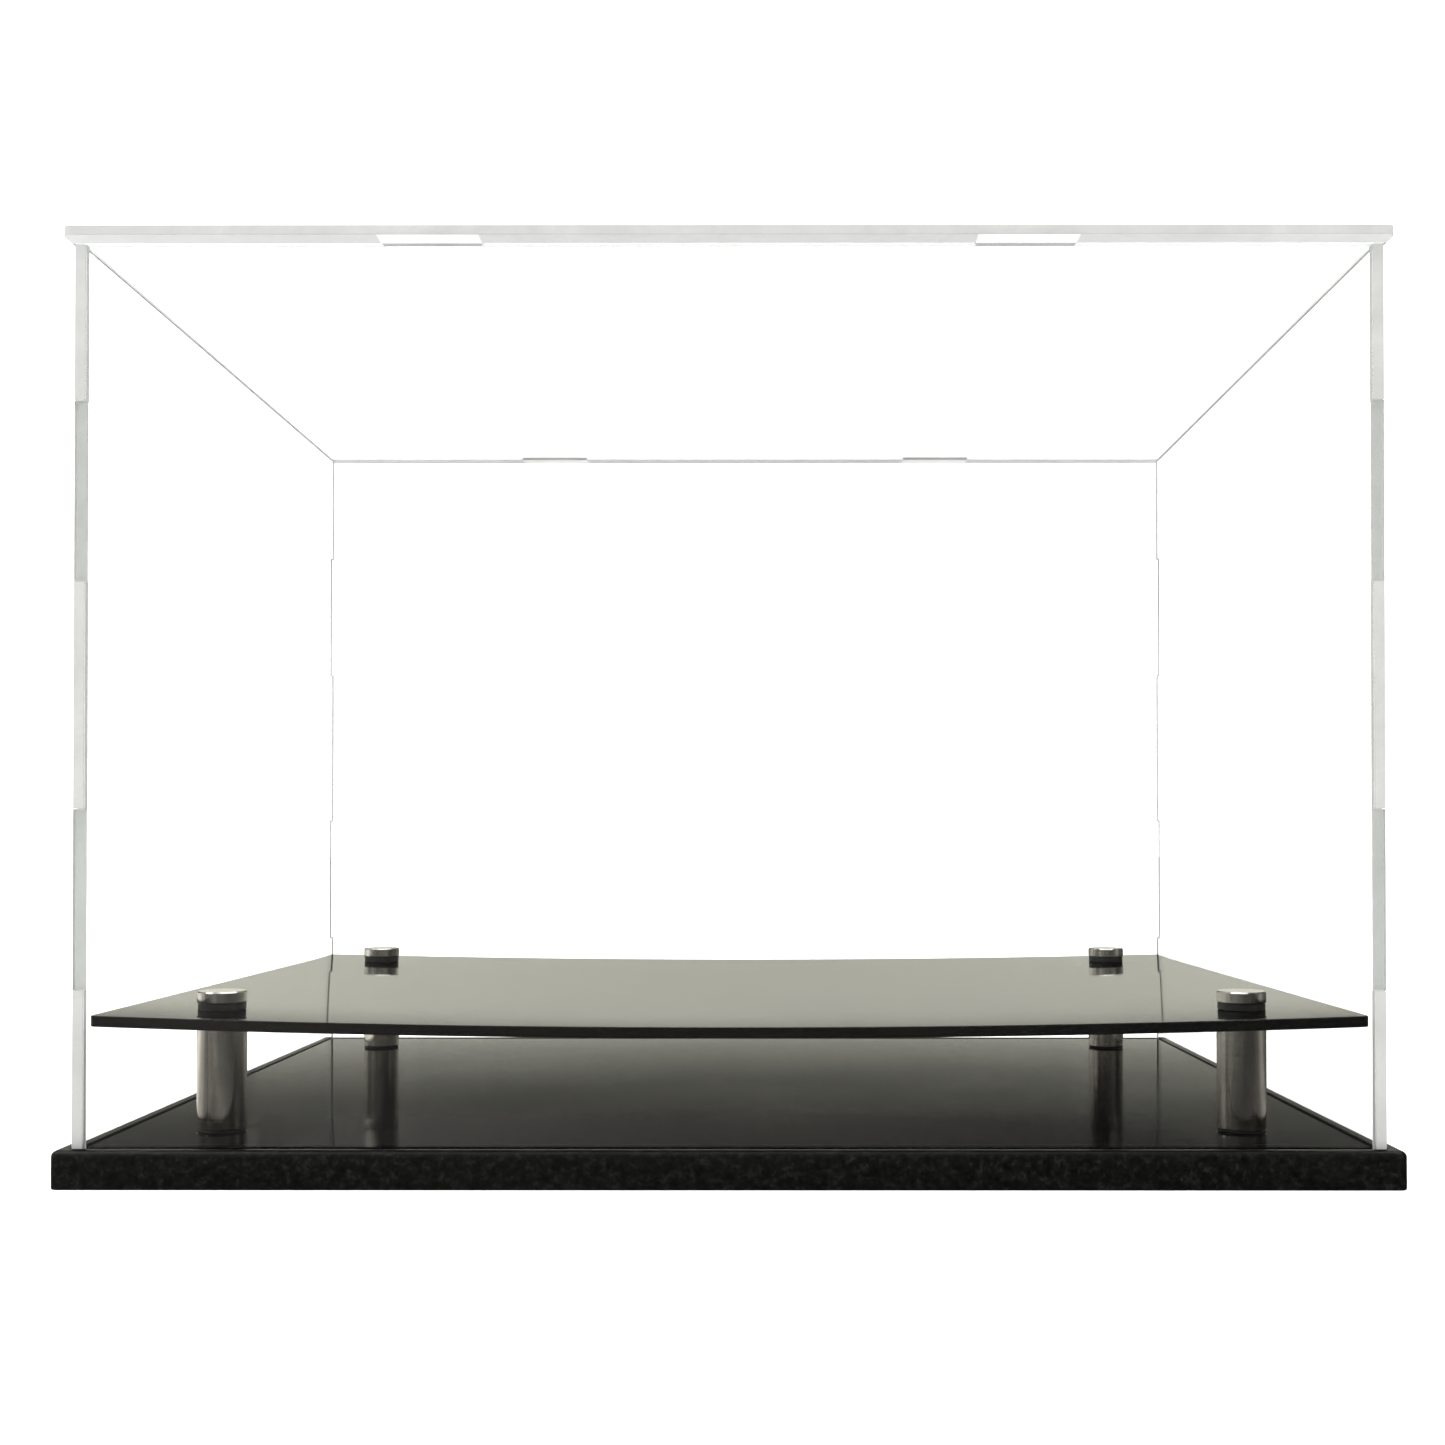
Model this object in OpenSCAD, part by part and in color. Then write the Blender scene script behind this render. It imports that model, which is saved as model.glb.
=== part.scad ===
// Display case for a full-size football helmet. A lift-off clear cover of five jointed panels stands
// in a groove round a gloss black deck, which is let into a black base board. Inside, a black riser
// is held above the deck by four steel standoffs, each with a hand-tight cap on top and a
// countersunk screw from below.
// X is the width, the front faces -Y, and the origin is the middle of the board's underside.

/* [Case] */
// Width of the base board
case_w = 420; // [320:1:640]
// Depth of the base board
case_d = 306; // [220:1:480]
// Height from the table to the top of the cover
case_h = 298; // [240:1:480]

/* [Base] */
// Thickness of the base board
board_t = 12; // [9:0.5:24]
// Rounding along the board's top edge and down its corners
board_edge_r = 2; // [0.5:0.5:3]
// From the board's edge in to the cover's outer face
cover_inset = 5; // [4:0.5:20]
// Thickness of the deck panel, which is also the depth of the groove
deck_t = 3; // [2:0.5:5]
// Clearance on each side of a cover wall in the groove
groove_gap = 0.4; // [0.2:0.1:1]

/* [Cover] */
// Thickness of the four walls
wall_t = 3.5; // [3:0.5:8]
// Thickness of the top panel
top_t = 3; // [2:0.5:8]
// How far the top panel reaches past the front and back walls
top_lip_front = 8; // [3:0.5:20]
// How far the top panel reaches past the side walls
top_lip_side = 1; // [0:0.5:10]
// Corner radius of the top panel
top_corner_r = 3; // [1:0.5:10]
// Length of each corner finger on the front and back walls
finger_len = 57; // [20:1:70]
// Distance between the two fingers of one wall edge
finger_space = 71; // [20:1:90]
// Width of the tabs that stand up into the top panel
tab_w = 31; // [10:1:60]
// Distance between the middles of the two tabs of one wall
tab_pitch = 186; // [80:1:220]
// Clearance at the ends of fingers and around tabs
joint_gap = 0.1; // [0.05:0.05:0.3]

/* [Riser] */
// Clear height between the deck and the riser
riser_h = 36.5; // [34:0.5:120]
// Thickness of the riser panel
riser_t = 3.5; // [2:0.5:8]
// Gap between the riser and each of the four walls
riser_gap = 0.6; // [0.4:0.1:20]
// Corner radius of the riser
riser_corner_r = 2; // [0.5:0.5:15]
// From the riser's edges in to the middle of each standoff
standoff_inset = 31.5; // [20:0.5:60]

/* [Standoffs] */
// Diameter of the barrels and caps
standoff_d = 16; // [14:0.5:30]
// Height of a cap
cap_h = 4; // [3:0.1:10]
// Chamfer on the ends of barrels and caps
steel_chamfer = 0.4; // [0.2:0.1:1]
// Diameter of the threaded stud under a cap
stud_d = 8; // [5:0.5:10]
// Diameter of the base screws
screw_d = 5; // [3:0.5:6]
// Diameter of a base screw's countersunk head
screw_head_d = 10; // [9:0.5:12]
// Width across the flats of the hexagon socket in a base screw
hex_w = 3; // [2:0.5:4]
// Length of thread that a stud or a screw has in its barrel
thread_bite = 9; // [6:0.5:12]
// Thickness of the washer at a barrel's foot
foot_washer_t = 0.6; // [0.5:0.1:3]
// Thickness of the washer between a barrel and the riser
riser_washer_t = 0.8; // [0.5:0.1:2]
// Thickness of the collar washer between the riser and a cap
cap_washer_t = 2.2; // [1:0.1:4]
// Clearance on the radius of a screw or stud in a plain hole
hole_gap = 0.3; // [0.2:0.05:0.5]

/* [Hidden] */
$fn = 96;
// Radial clearance between a plain shank, which stands for a thread, and its tapped bore
thread_gap = 0.05;
// Spare depth of a tapped bore past the end of its thread
bore_spare = 2;
// How far a base screw's head lies below the board's underside
head_recess = 0.4;
// Depth of a base screw's hexagon socket
hex_depth = 2;
// How far a washer's rim stays inside the barrel's
washer_inset = 0.3;
// Overrun of a cut past the face it opens
cut = 1;

// The cover
cover_w = case_w - 2 * cover_inset;
cover_d = case_d - 2 * cover_inset;
inner_w = cover_w - 2 * wall_t;
inner_d = cover_d - 2 * wall_t;
floor_z = board_t - deck_t;
wall_top_z = case_h - top_t;
wall_h = wall_top_z - floor_z;
top_w = cover_w + 2 * top_lip_side;
top_d = cover_d + 2 * top_lip_front;
// Middle of the part of a wall that stands above the groove, from the wall's foot
joint_mid = (wall_h + deck_t) / 2;
// From there up or down to the middle of a finger
finger_mid = (finger_len + finger_space) / 2;

// The base
pocket_w = cover_w + 2 * groove_gap;
pocket_d = cover_d + 2 * groove_gap;
deck_w = inner_w - 2 * groove_gap;
deck_d = inner_d - 2 * groove_gap;

// The riser and the standoffs under it
riser_w = inner_w - 2 * riser_gap;
riser_d = inner_d - 2 * riser_gap;
riser_z = board_t + riser_h;
riser_top_z = riser_z + riser_t;
standoff_x = riser_w / 2 - standoff_inset;
standoff_y = riser_d / 2 - standoff_inset;
barrel_z = board_t + foot_washer_t;
barrel_h = riser_h - foot_washer_t - riser_washer_t;
washer_d = standoff_d - 2 * washer_inset;
cap_z = riser_top_z + cap_washer_t;
stud_len = thread_bite + riser_washer_t + riser_t + cap_washer_t;
screw_len = thread_bite + barrel_z - head_recess;
screw_head_h = (screw_head_d - screw_d) / 2;
screw_hole_d = screw_d + 2 * hole_gap;
stud_hole_d = stud_d + 2 * hole_gap;
bore_h = thread_bite + bore_spare;

// A box centred on the Z axis, standing on z = 0
module block(w, d, h) {
    translate([-w / 2, -d / 2, 0]) cube([w, d, h]);
}

// A flat rectangle with round corners
module rounded_rect(w, d, r) {
    square([w - 2 * r, d], center = true);
    square([w, d - 2 * r], center = true);
    for (side = [-1, 1], end = [-1, 1])
        translate([side * (w / 2 - r), end * (d / 2 - r)]) circle(r);
}

// End view of a slab that is flat below and rounded at its two upper corners
module soft_profile(w, t, r) {
    translate([-w / 2, 0]) square([w, t - r]);
    translate([r - w / 2, 0]) square([w - 2 * r, t]);
    for (side = [-1, 1]) translate([side * (w / 2 - r), t - r]) circle(r);
}

// A slab with its upper edges and its upright corners rounded
module soft_slab(w, d, t, r) {
    intersection() {
        translate([0, d / 2, 0]) rotate([90, 0, 0]) linear_extrude(d) soft_profile(w, t, r);
        translate([-w / 2, 0, 0]) rotate([90, 0, 90]) linear_extrude(w) soft_profile(d, t, r);
        linear_extrude(t) rounded_rect(w, d, r);
    }
}

// A flat ring standing on z = 0
module washer(outer_d, hole_d, t) {
    difference() {
        cylinder(d = outer_d, h = t);
        translate([0, 0, -cut]) cylinder(d = hole_d, h = t + 2 * cut);
    }
}

// A round bar standing on z = 0 with both its ends chamfered
module chamfered_bar(d, h, chamfer) {
    cylinder(d1 = d - 2 * chamfer, d2 = d, h = chamfer);
    translate([0, 0, chamfer]) cylinder(d = d, h = h - 2 * chamfer);
    translate([0, 0, h - chamfer]) cylinder(d1 = d, d2 = d - 2 * chamfer, h = chamfer);
}

// Children moved to the standoff on one side (-1 left, 1 right) and end (-1 front, 1 back)
module at_standoff(side, end) {
    translate([side * standoff_x, end * standoff_y, 0]) children();
}

// Children repeated at all four standoffs
module at_standoffs() {
    for (side = [-1, 1], end = [-1, 1]) at_standoff(side, end) children();
}

// Board with a shallow pocket: the deck fills its middle and leaves the groove round it
module base_board() {
    color([0.10, 0.10, 0.10]) difference() {
        soft_slab(case_w, case_d, board_t, board_edge_r);
        translate([0, 0, floor_z]) block(pocket_w, pocket_d, deck_t + cut);
        at_standoffs() {
            translate([0, 0, -cut]) cylinder(d = screw_hole_d, h = board_t + 2 * cut);
            translate([0, 0, -cut]) cylinder(d = screw_head_d, h = cut + head_recess);
            translate([0, 0, head_recess])
                cylinder(d1 = screw_head_d, d2 = screw_d, h = screw_head_h);
        }
    }
}

// Gloss panel that lies in the pocket inside the cover
module deck_panel() {
    color([0.16, 0.16, 0.15]) difference() {
        translate([0, 0, floor_z]) block(deck_w, deck_d, deck_t);
        at_standoffs() translate([0, 0, floor_z - cut])
            cylinder(d = screw_hole_d, h = deck_t + 2 * cut);
    }
}

// Gloss panel that the helmet stands on
module riser_panel() {
    color([0.06, 0.06, 0.06]) difference() {
        translate([0, 0, riser_z]) linear_extrude(riser_t)
            rounded_rect(riser_w, riser_d, riser_corner_r);
        at_standoffs() translate([0, 0, riser_z - cut])
            cylinder(d = stud_hole_d, h = riser_t + 2 * cut);
    }
}

// Top panel, slotted for the tabs of the front and back walls
module cover_top() {
    slot_w = tab_w + 2 * joint_gap;
    slot_d = wall_t + 2 * joint_gap;
    color([0.85, 0.90, 0.90, 0.45]) difference() {
        translate([0, 0, wall_top_z]) linear_extrude(top_t)
            rounded_rect(top_w, top_d, top_corner_r);
        for (side = [-1, 1], end = [-1, 1])
            translate([side * tab_pitch / 2, end * (cover_d - wall_t) / 2, wall_top_z - cut])
                block(slot_w, slot_d, top_t + 2 * cut);
    }
}

// Front or back wall as a flat sheet standing on z = 0, with two fingers at each
// upright edge and two tabs on top
module front_sheet() {
    block(inner_w, wall_t, wall_h);
    for (level = [-1, 1])
        translate([0, 0, joint_mid + level * finger_mid - finger_len / 2 + joint_gap])
            block(cover_w, wall_t, finger_len - 2 * joint_gap);
    for (side = [-1, 1])
        translate([side * tab_pitch / 2, 0, wall_h - cut]) block(tab_w, wall_t, top_t + cut);
}

module cover_front() {
    color([0.80, 0.88, 0.90, 0.35])
        translate([0, -(cover_d - wall_t) / 2, floor_z]) front_sheet();
}

module cover_back() {
    color([0.80, 0.88, 0.90, 0.35])
        translate([0, (cover_d - wall_t) / 2, floor_z]) front_sheet();
}

// Left or right wall as a flat sheet standing on z = 0, notched for the fingers
module side_sheet() {
    difference() {
        block(wall_t, cover_d, wall_h);
        for (end = [-1, 1], level = [-1, 1])
            translate([0, end * cover_d / 2, joint_mid + level * finger_mid - finger_len / 2])
                block(wall_t + 2 * cut, 2 * wall_t, finger_len);
    }
}

module cover_left() {
    color([0.76, 0.86, 0.90, 0.35])
        translate([-(cover_w - wall_t) / 2, 0, floor_z]) side_sheet();
}

module cover_right() {
    color([0.76, 0.86, 0.90, 0.35])
        translate([(cover_w - wall_t) / 2, 0, floor_z]) side_sheet();
}

// Thin black washer between the deck and a barrel
module foot_washer(side, end) {
    color([0.12, 0.12, 0.12]) at_standoff(side, end)
        translate([0, 0, board_t]) washer(washer_d, screw_hole_d, foot_washer_t);
}

// Steel barrel, tapped from below for the base screw and from above for the cap's stud
module barrel(side, end) {
    color([0.70, 0.71, 0.72]) at_standoff(side, end) translate([0, 0, barrel_z]) difference() {
        chamfered_bar(standoff_d, barrel_h, steel_chamfer);
        translate([0, 0, -cut]) cylinder(d = screw_d + 2 * thread_gap, h = bore_h + cut);
        translate([0, 0, barrel_h - bore_h]) cylinder(d = stud_d + 2 * thread_gap, h = bore_h + cut);
    }
}

// Thin washer between a barrel and the riser's underside
module riser_washer(side, end) {
    color([0.12, 0.12, 0.12]) at_standoff(side, end)
        translate([0, 0, riser_z - riser_washer_t]) washer(washer_d, stud_hole_d, riser_washer_t);
}

// Black collar washer between the riser's top and a cap
module cap_washer(side, end) {
    color([0.12, 0.12, 0.12]) at_standoff(side, end)
        translate([0, 0, riser_top_z]) washer(washer_d, stud_hole_d, cap_washer_t);
}

// Steel cap with the threaded stud that holds the riser down
module cap(side, end) {
    color([0.78, 0.79, 0.80]) at_standoff(side, end) {
        translate([0, 0, cap_z]) chamfered_bar(standoff_d, cap_h, steel_chamfer);
        translate([0, 0, cap_z - stud_len]) cylinder(d = stud_d, h = stud_len + cap_h / 2);
    }
}

// Countersunk screw with a hexagon socket, up through the board and deck into a barrel
module base_screw(side, end) {
    color([0.55, 0.55, 0.57]) at_standoff(side, end) translate([0, 0, head_recess]) difference() {
        union() {
            cylinder(d1 = screw_head_d, d2 = screw_d, h = screw_head_h);
            cylinder(d = screw_d, h = screw_len);
        }
        translate([0, 0, -cut])
            cylinder(d = hex_w / cos(30), h = hex_depth + cut, $fn = 6);
    }
}

base_board();
deck_panel();
riser_panel();
cover_top();
cover_front();
cover_back();
cover_left();
cover_right();
foot_washer(-1, -1);  // foot_washer_front_left
foot_washer(1, -1);  // foot_washer_front_right
foot_washer(-1, 1);  // foot_washer_back_left
foot_washer(1, 1);  // foot_washer_back_right
barrel(-1, -1);  // barrel_front_left
barrel(1, -1);  // barrel_front_right
barrel(-1, 1);  // barrel_back_left
barrel(1, 1);  // barrel_back_right
riser_washer(-1, -1);  // riser_washer_front_left
riser_washer(1, -1);  // riser_washer_front_right
riser_washer(-1, 1);  // riser_washer_back_left
riser_washer(1, 1);  // riser_washer_back_right
cap_washer(-1, -1);  // cap_washer_front_left
cap_washer(1, -1);  // cap_washer_front_right
cap_washer(-1, 1);  // cap_washer_back_left
cap_washer(1, 1);  // cap_washer_back_right
cap(-1, -1);  // cap_front_left
cap(1, -1);  // cap_front_right
cap(-1, 1);  // cap_back_left
cap(1, 1);  // cap_back_right
base_screw(-1, -1);  // base_screw_front_left
base_screw(1, -1);  // base_screw_front_right
base_screw(-1, 1);  // base_screw_back_left
base_screw(1, 1);  // base_screw_back_right
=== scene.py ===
import math

import bmesh
import bpy
from mathutils import Matrix, Vector


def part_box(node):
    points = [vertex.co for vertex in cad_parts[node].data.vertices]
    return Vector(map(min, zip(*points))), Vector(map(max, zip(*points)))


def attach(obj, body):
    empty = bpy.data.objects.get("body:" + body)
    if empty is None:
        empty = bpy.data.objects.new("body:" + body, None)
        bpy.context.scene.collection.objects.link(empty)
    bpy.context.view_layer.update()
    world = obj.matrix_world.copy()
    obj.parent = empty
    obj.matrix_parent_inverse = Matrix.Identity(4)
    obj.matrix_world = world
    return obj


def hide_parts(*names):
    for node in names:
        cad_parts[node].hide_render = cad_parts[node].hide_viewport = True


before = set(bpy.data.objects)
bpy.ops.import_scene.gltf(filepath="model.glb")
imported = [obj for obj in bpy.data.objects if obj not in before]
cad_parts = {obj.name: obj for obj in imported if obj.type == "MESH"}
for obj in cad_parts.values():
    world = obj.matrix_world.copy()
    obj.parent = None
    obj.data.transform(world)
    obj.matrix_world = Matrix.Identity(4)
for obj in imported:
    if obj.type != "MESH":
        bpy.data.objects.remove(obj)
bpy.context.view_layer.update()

mm = 0.001

# ---------------------------------------------------------------------------------------------
# Camera, floor and light. The camera looks in low from the front, so the deck and the riser are
# seen at a grazing angle. The floor is plain and pale, and the sky is a white studio whose right
# side and front are darker where polished surfaces mirror it.
camera_place = Vector((13.85, -665.7, 107.2)) * mm
camera_yaw = math.radians(-0.112)
camera_pitch = math.radians(0.562)
camera_lens = 41.33
camera_shift = (-0.0328, 0.0722)

camera = bpy.data.objects.new("camera", bpy.data.cameras.new("camera"))
bpy.context.scene.collection.objects.link(camera)
camera.location = camera_place
camera.rotation_euler = (math.pi / 2 + camera_pitch, 0, -camera_yaw)
camera.data.lens = camera_lens
camera.data.sensor_width = 36
camera.data.shift_x, camera.data.shift_y = camera_shift
camera.data.clip_start, camera.data.clip_end = 0.01, 60
bpy.context.scene.camera = camera
bpy.context.scene.view_settings.view_transform = "Standard"
bpy.context.scene.cycles.glossy_bounces = 10


def join(tree, *chain):
    """Links sockets in pairs: join(tree, out, in, out, in, ...)."""
    for source, target in zip(chain[::2], chain[1::2]):
        tree.links.new(source, target)


def add(tree, kind, **values):
    """A node of that kind, with its properties and, by name, its sockets' values set."""
    node = tree.nodes.new(kind)
    for name, value in values.items():
        if hasattr(node, name):
            setattr(node, name, value)
        else:
            node.inputs[name.replace("_", " ")].default_value = value
    return node


def ramp(tree, source, stops, ease="LINEAR"):
    """A colour ramp fed from source, with grey or coloured stops {place: value}."""
    node = tree.nodes.new("ShaderNodeValToRGB")
    node.color_ramp.interpolation = ease
    places = sorted(stops)
    while len(node.color_ramp.elements) < len(places):
        node.color_ramp.elements.new(0.5)
    for element, place in zip(node.color_ramp.elements, places):
        value = stops[place]
        element.position = place
        element.color = (*value, 1) if isinstance(value, tuple) else (value, value, value, 1)
    tree.links.new(source, node.inputs[0])
    return node.outputs[0]


def mirrored(tree):
    """1 where a ray has already been mirrored by something, else 0."""
    path = add(tree, "ShaderNodeLightPath")
    bounced = add(tree, "ShaderNodeMath", operation="GREATER_THAN")
    bounced.inputs[1].default_value = 0.5
    join(tree, path.outputs["Glossy Depth"], bounced.inputs[0])
    return bounced.outputs[0]


def compass(tree, vector, tones, tint):
    """A warm tone by direction: 0 and 1 are the front, 0.25 left, 0.5 back and 0.75 right."""
    split = add(tree, "ShaderNodeSeparateXYZ")
    round_about = add(tree, "ShaderNodeMath", operation="ARCTAN2")
    turns = add(tree, "ShaderNodeMath", operation="MULTIPLY_ADD")
    turns.inputs[1].default_value = 1 / (2 * math.pi)
    turns.inputs[2].default_value = 0.5
    join(tree, vector, split.inputs[0], split.outputs[0], round_about.inputs[0],
         split.outputs[1], round_about.inputs[1], round_about.outputs[0], turns.inputs[0])
    stops = {place: tuple(tone * t for t in tint) for place, tone in tones.items()}
    return ramp(tree, turns.outputs[0], stops, "EASE"), split.outputs[2]


seen_strength = 2.5


def studio_sky():
    """White for sight and for soft light. In mirrors it is a low bright band with dark flags."""
    world = bpy.data.worlds.new("studio")
    world.use_nodes = True
    world.cycles.sampling_method = "NONE"
    tree = world.node_tree
    tree.nodes.clear()
    place = add(tree, "ShaderNodeTexCoord")
    bands, height = compass(tree, place.outputs["Generated"], {
        0.0: 0.16, 0.05: 0.17, 0.09: 0.28, 0.13: 0.45, 0.18: 0.24, 0.225: 0.33, 0.27: 0.8,
        0.34: 1.0, 0.40: 1.0, 0.44: 0.97, 0.5: 0.85, 0.56: 0.93, 0.61: 0.6, 0.66: 0.26,
        0.725: 0.17, 0.775: 0.05, 0.82: 0.05, 0.87: 0.21, 0.91: 0.20, 0.95: 0.14,
        1.0: 0.16}, (1, 0.985, 0.86))
    fall = ramp(tree, height, {0.0: 0.82, 0.065: 0.80, 0.11: 0.96, 0.121: 0.46, 0.143: 0.17,
                               0.17: 0.09, 0.22: 0.08, 0.4: 0.3, 1.0: 0.6})
    tone = add(tree, "ShaderNodeMix", data_type="RGBA", blend_type="MULTIPLY")
    tone.inputs[0].default_value = 1.0
    plain = add(tree, "ShaderNodeBackground", Color=(1, 1, 1, 1), Strength=seen_strength)
    flagged = add(tree, "ShaderNodeBackground", Strength=1.0)
    mix = add(tree, "ShaderNodeMixShader")
    out = add(tree, "ShaderNodeOutputWorld")
    join(tree, bands, tone.inputs[6], fall, tone.inputs[7], tone.outputs[2],
         flagged.inputs["Color"], mirrored(tree), mix.inputs[0], plain.outputs[0], mix.inputs[1],
         flagged.outputs[0], mix.inputs[2], mix.outputs[0], out.inputs[0])
    return world


bpy.context.scene.world = studio_sky()


def material(name):
    """An empty node material: returns it, its tree and its output node."""
    made = bpy.data.materials.new(name)
    made.use_nodes = True
    tree = made.node_tree
    tree.nodes.clear()
    return made, tree, add(tree, "ShaderNodeOutputMaterial")


def link_mesh(name, mesh, *materials):
    """A mesh object in the scene with those materials."""
    made = bpy.data.objects.new(name, mesh)
    bpy.context.scene.collection.objects.link(made)
    for finish in materials:
        mesh.materials.append(finish)
    return made


def floor_paint():
    """Pale, slightly uneven studio floor. Where mirrored it glows in painted bands by direction,
    palest at the left.
    """
    made, tree, out = material("floor_paint")
    place = add(tree, "ShaderNodeTexCoord")
    cloud = add(tree, "ShaderNodeTexNoise", Scale=1.5, Detail=2.0)
    tone = ramp(tree, cloud.outputs["Fac"], {0.3: 0.86, 0.7: 0.88})
    paint = add(tree, "ShaderNodeBsdfDiffuse")
    bands, _ = compass(tree, place.outputs["Object"], {
        0.0: 0.08, 0.04: 0.10, 0.078: 0.17, 0.117: 0.10, 0.159: 0.16, 0.206: 0.45, 0.262: 1.1,
        0.339: 0.8, 0.40: 0.30, 0.5: 0.22, 0.561: 0.18, 0.655: 0.05, 0.733: 0.09, 0.788: 0.30,
        0.835: 0.09, 0.87: 0.05, 0.93: 0.045, 0.97: 0.07, 1.0: 0.08}, (1, 0.96, 0.89))
    # Painted reflection: for mirrored rays the floor glows with these direction bands instead of
    # its paint.
    mirrored_floor_painted_glow = add(tree, "ShaderNodeEmission", Strength=1.0)
    mix = add(tree, "ShaderNodeMixShader")
    join(tree, place.outputs["Object"], cloud.inputs["Vector"], tone, paint.inputs["Color"],
         bands, mirrored_floor_painted_glow.inputs["Color"], mirrored(tree), mix.inputs[0], paint.outputs[0],
         mix.inputs[1], mirrored_floor_painted_glow.outputs[0], mix.inputs[2], mix.outputs[0], out.inputs["Surface"])
    return made


floor_reach = 12.0
lamp_aim = Vector((0, 0, 0.1))
shape = bmesh.new()
bmesh.ops.create_grid(shape, x_segments=8, y_segments=8, size=floor_reach)
floor_mesh = bpy.data.meshes.new("floor")
shape.to_mesh(floor_mesh)
shape.free()
floor = link_mesh("floor", floor_mesh, floor_paint())

for name, place, size, power in (
    ("soft_left", (-1.6, -0.5, 1.7), 1.4, 22),
    ("soft_top", (0.2, 0.3, 2.1), 1.6, 15),
):
    lamp = bpy.data.objects.new(name, bpy.data.lights.new(name, "AREA"))
    lamp.data.size = size
    lamp.data.energy = power
    lamp.location = place
    lamp.rotation_euler = (lamp_aim - lamp.location).to_track_quat("-Z", "Y").to_euler()
    bpy.context.scene.collection.objects.link(lamp)

# ---------------------------------------------------------------------------------------------
# Base board. One 12 mm fibreboard, routed with a shallow pocket for the deck and the cover's
# walls, softened along its top edge and sprayed satin black. The paint covers the face smoothly,
# but the cut edges drink it in and stay coarse.
board_w, board_d, board_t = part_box("base_board")[1]
wall_lo, wall_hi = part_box("cover_left")
front_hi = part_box("cover_front")[1]
board_corner = 2.4 * mm
board_edge = 2.0 * mm
foot_edge = 0.5 * mm
groove_gap = 0.4 * mm
groove_corner = 0.6 * mm
groove_ease = 0.35 * mm


def ring(half_w, half_d, corner, z, steps=6):
    """Points round an upright-sided rectangle with round corners, at one height."""
    points = []
    for quarter, (sx, sy) in enumerate(((1, 1), (-1, 1), (-1, -1), (1, -1))):
        for step in range(steps + 1):
            turn = math.pi / 2 * (quarter + step / steps)
            points.append((sx * (half_w - corner) + corner * math.cos(turn),
                           sy * (half_d - corner) + corner * math.sin(turn), z))
    return points


def stack(name, rings):
    """A closed mesh through a list of rings of equal length, with a face over each end."""
    shape = bmesh.new()
    rows = [[shape.verts.new(p) for p in points] for points in rings]
    for low, high in zip(rows, rows[1:]):
        for i in range(len(low)):
            j = (i + 1) % len(low)
            shape.faces.new((low[i], low[j], high[j], high[i]))
    shape.faces.new(list(reversed(rows[0])))
    shape.faces.new(rows[-1])
    bmesh.ops.recalc_face_normals(shape, faces=shape.faces)
    mesh = bpy.data.meshes.new(name)
    shape.to_mesh(mesh)
    shape.free()
    return mesh


def edge_rings(half_w, half_d, corner, z, radius, steps=5, up=1):
    """Rings over a rounded edge, from the upright side (up=1) in to the flat, or back (up=-1)."""
    rings = []
    for step in range(steps + 1):
        turn = math.pi / 2 * (step / steps if up > 0 else 1 - step / steps)
        inset = radius * (1 - math.cos(turn))
        rings.append(ring(half_w - inset, half_d - inset, max(corner - inset, 0.05 * mm),
                          z - up * radius * (1 - math.sin(turn))))
    return rings


def turned(name, profile, steps=64):
    """A solid of revolution about Z through (radius, height) points, closed at its ends."""
    shape = bmesh.new()
    rows = []
    for radius, z in profile:
        if radius <= 0:
            rows.append([shape.verts.new((0, 0, z))])
        else:
            rows.append([shape.verts.new((radius * math.cos(2 * math.pi * i / steps),
                                          radius * math.sin(2 * math.pi * i / steps), z))
                         for i in range(steps)])
    pairs = list(zip(rows, rows[1:]))
    if profile[0][0] > 0:
        pairs.append((rows[-1], rows[0]))
    for low, high in pairs:
        for i in range(steps):
            j = (i + 1) % steps
            face = [low[i % len(low)], low[j % len(low)], high[j % len(high)], high[i % len(high)]]
            shape.faces.new(list(dict.fromkeys(face)))
    bmesh.ops.recalc_face_normals(shape, faces=shape.faces)
    mesh = bpy.data.meshes.new(name)
    shape.to_mesh(mesh)
    shape.free()
    return mesh


def baked_mesh(piece, name):
    """The piece's mesh with its modifiers applied, as a plain mesh."""
    graph = bpy.context.evaluated_depsgraph_get()
    mesh = bpy.data.meshes.new_from_object(piece.evaluated_get(graph))
    mesh.name = name
    return mesh


def cut_away(piece, *cutters):
    """Cuts closed meshes out of the piece."""
    for cutter in cutters:
        knife = link_mesh("knife", cutter)
        step = piece.modifiers.new("cut", "BOOLEAN")
        step.operation, step.solver, step.object = "DIFFERENCE", "EXACT", knife
        piece.data = baked_mesh(piece, piece.name)
        piece.modifiers.clear()
        bpy.data.objects.remove(knife)


def smooth(piece, angle=32, broad=100 * mm * mm):
    """Smooth shading, but broad faces stay truly flat and edges past the angle stay crisp."""
    shape = bmesh.new()
    shape.from_mesh(piece.data)
    for face in shape.faces:
        face.smooth = True
    for edge in shape.edges:
        wide = [face.calc_area() > broad for face in edge.link_faces]
        edge.smooth = (edge.calc_face_angle(0) < math.radians(angle) and all(wide) == any(wide))
    shape.to_mesh(piece.data)
    shape.free()


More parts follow.
